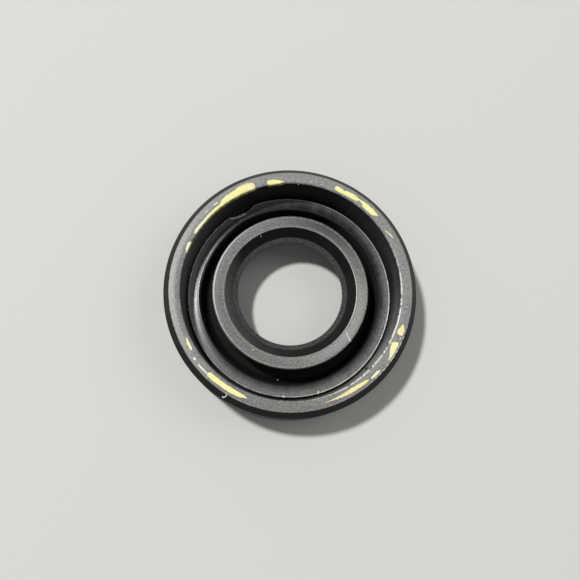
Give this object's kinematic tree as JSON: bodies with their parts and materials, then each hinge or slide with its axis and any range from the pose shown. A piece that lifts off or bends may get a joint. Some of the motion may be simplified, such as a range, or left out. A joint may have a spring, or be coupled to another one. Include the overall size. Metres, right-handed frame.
{
  "type": "radial shaft seal",
  "caption": "All-rubber radial shaft seal with a springless lip, a stepped rim and an open relief groove.",
  "frame": {"origin": "centre of the back face, on the shaft's axis", "axes": "+Z along the shaft's axis, from the back face towards the lip's open side"},
  "size_m": [0.022, 0.022, 0.006],
  "materials": {
    "nitrile_rubber": "satin",
    "colour_mark_paint": "matte"
  },
  "bodies": {
    "root": {"seal_ring": "nitrile_rubber"}
  },
  "joints": []
}
